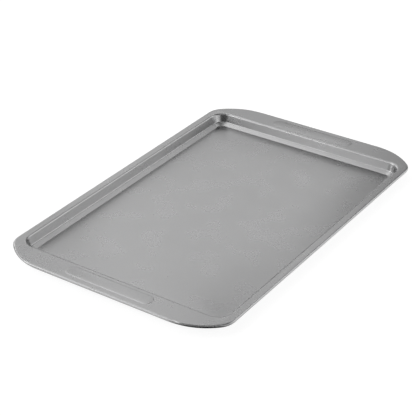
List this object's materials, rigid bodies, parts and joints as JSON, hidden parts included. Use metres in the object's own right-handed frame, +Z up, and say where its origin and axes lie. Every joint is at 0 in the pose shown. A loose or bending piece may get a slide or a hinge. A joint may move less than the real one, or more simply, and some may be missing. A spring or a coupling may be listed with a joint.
{
  "type": "cookie sheet",
  "caption": "Shallow rectangular non-stick baking sheet with a stepped side wall, a wide flat handle flange at each short end and a rolled, wired rim.",
  "frame": {"origin": "centre of the underside of the floor, on the surface that the sheet stands on", "axes": "+X along the length, from the middle to one handle; +Y across the width; +Z up, out of the well"},
  "size_m": [0.45, 0.286, 0.0136],
  "materials": {
    "coated_steel": "satin grey non-stick coating baked on to pressed carbon steel",
    "wire_steel": "drawn plain steel wire"
  },
  "bodies": {
    "root": {"pressed_pan": "coated_steel", "rim_wire": "wire_steel"}
  },
  "joints": []
}
